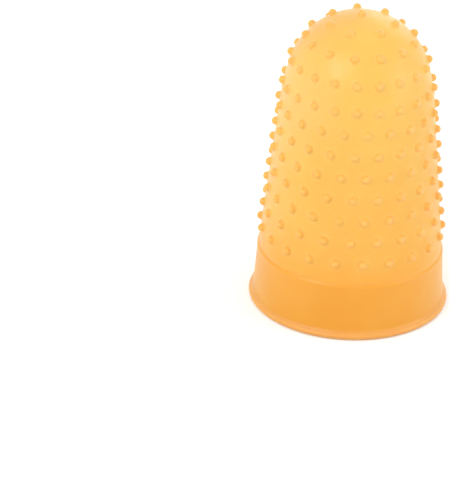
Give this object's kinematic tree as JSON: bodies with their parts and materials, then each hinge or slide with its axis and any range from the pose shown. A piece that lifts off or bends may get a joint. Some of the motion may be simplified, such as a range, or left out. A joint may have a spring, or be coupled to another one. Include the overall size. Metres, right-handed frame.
{
  "type": "finger cot",
  "caption": "One-piece amber rubber finger cot: a tapered sleeve with a rounded tip, covered in small grip studs, with a plain band and a flared lip at its mouth.",
  "frame": {"origin": "centre of the mouth, in the plane of the rim that it stands on", "axes": "+Z along the axis, from the mouth to the fingertip; -Y is the side that faces the picture's camera, turned by a few degrees"},
  "size_m": [0.0212, 0.0212, 0.0333],
  "materials": {
    "amber_rubber": "satin, slightly translucent"
  },
  "bodies": {
    "root": {"finger_cot": "amber_rubber"}
  },
  "joints": []
}
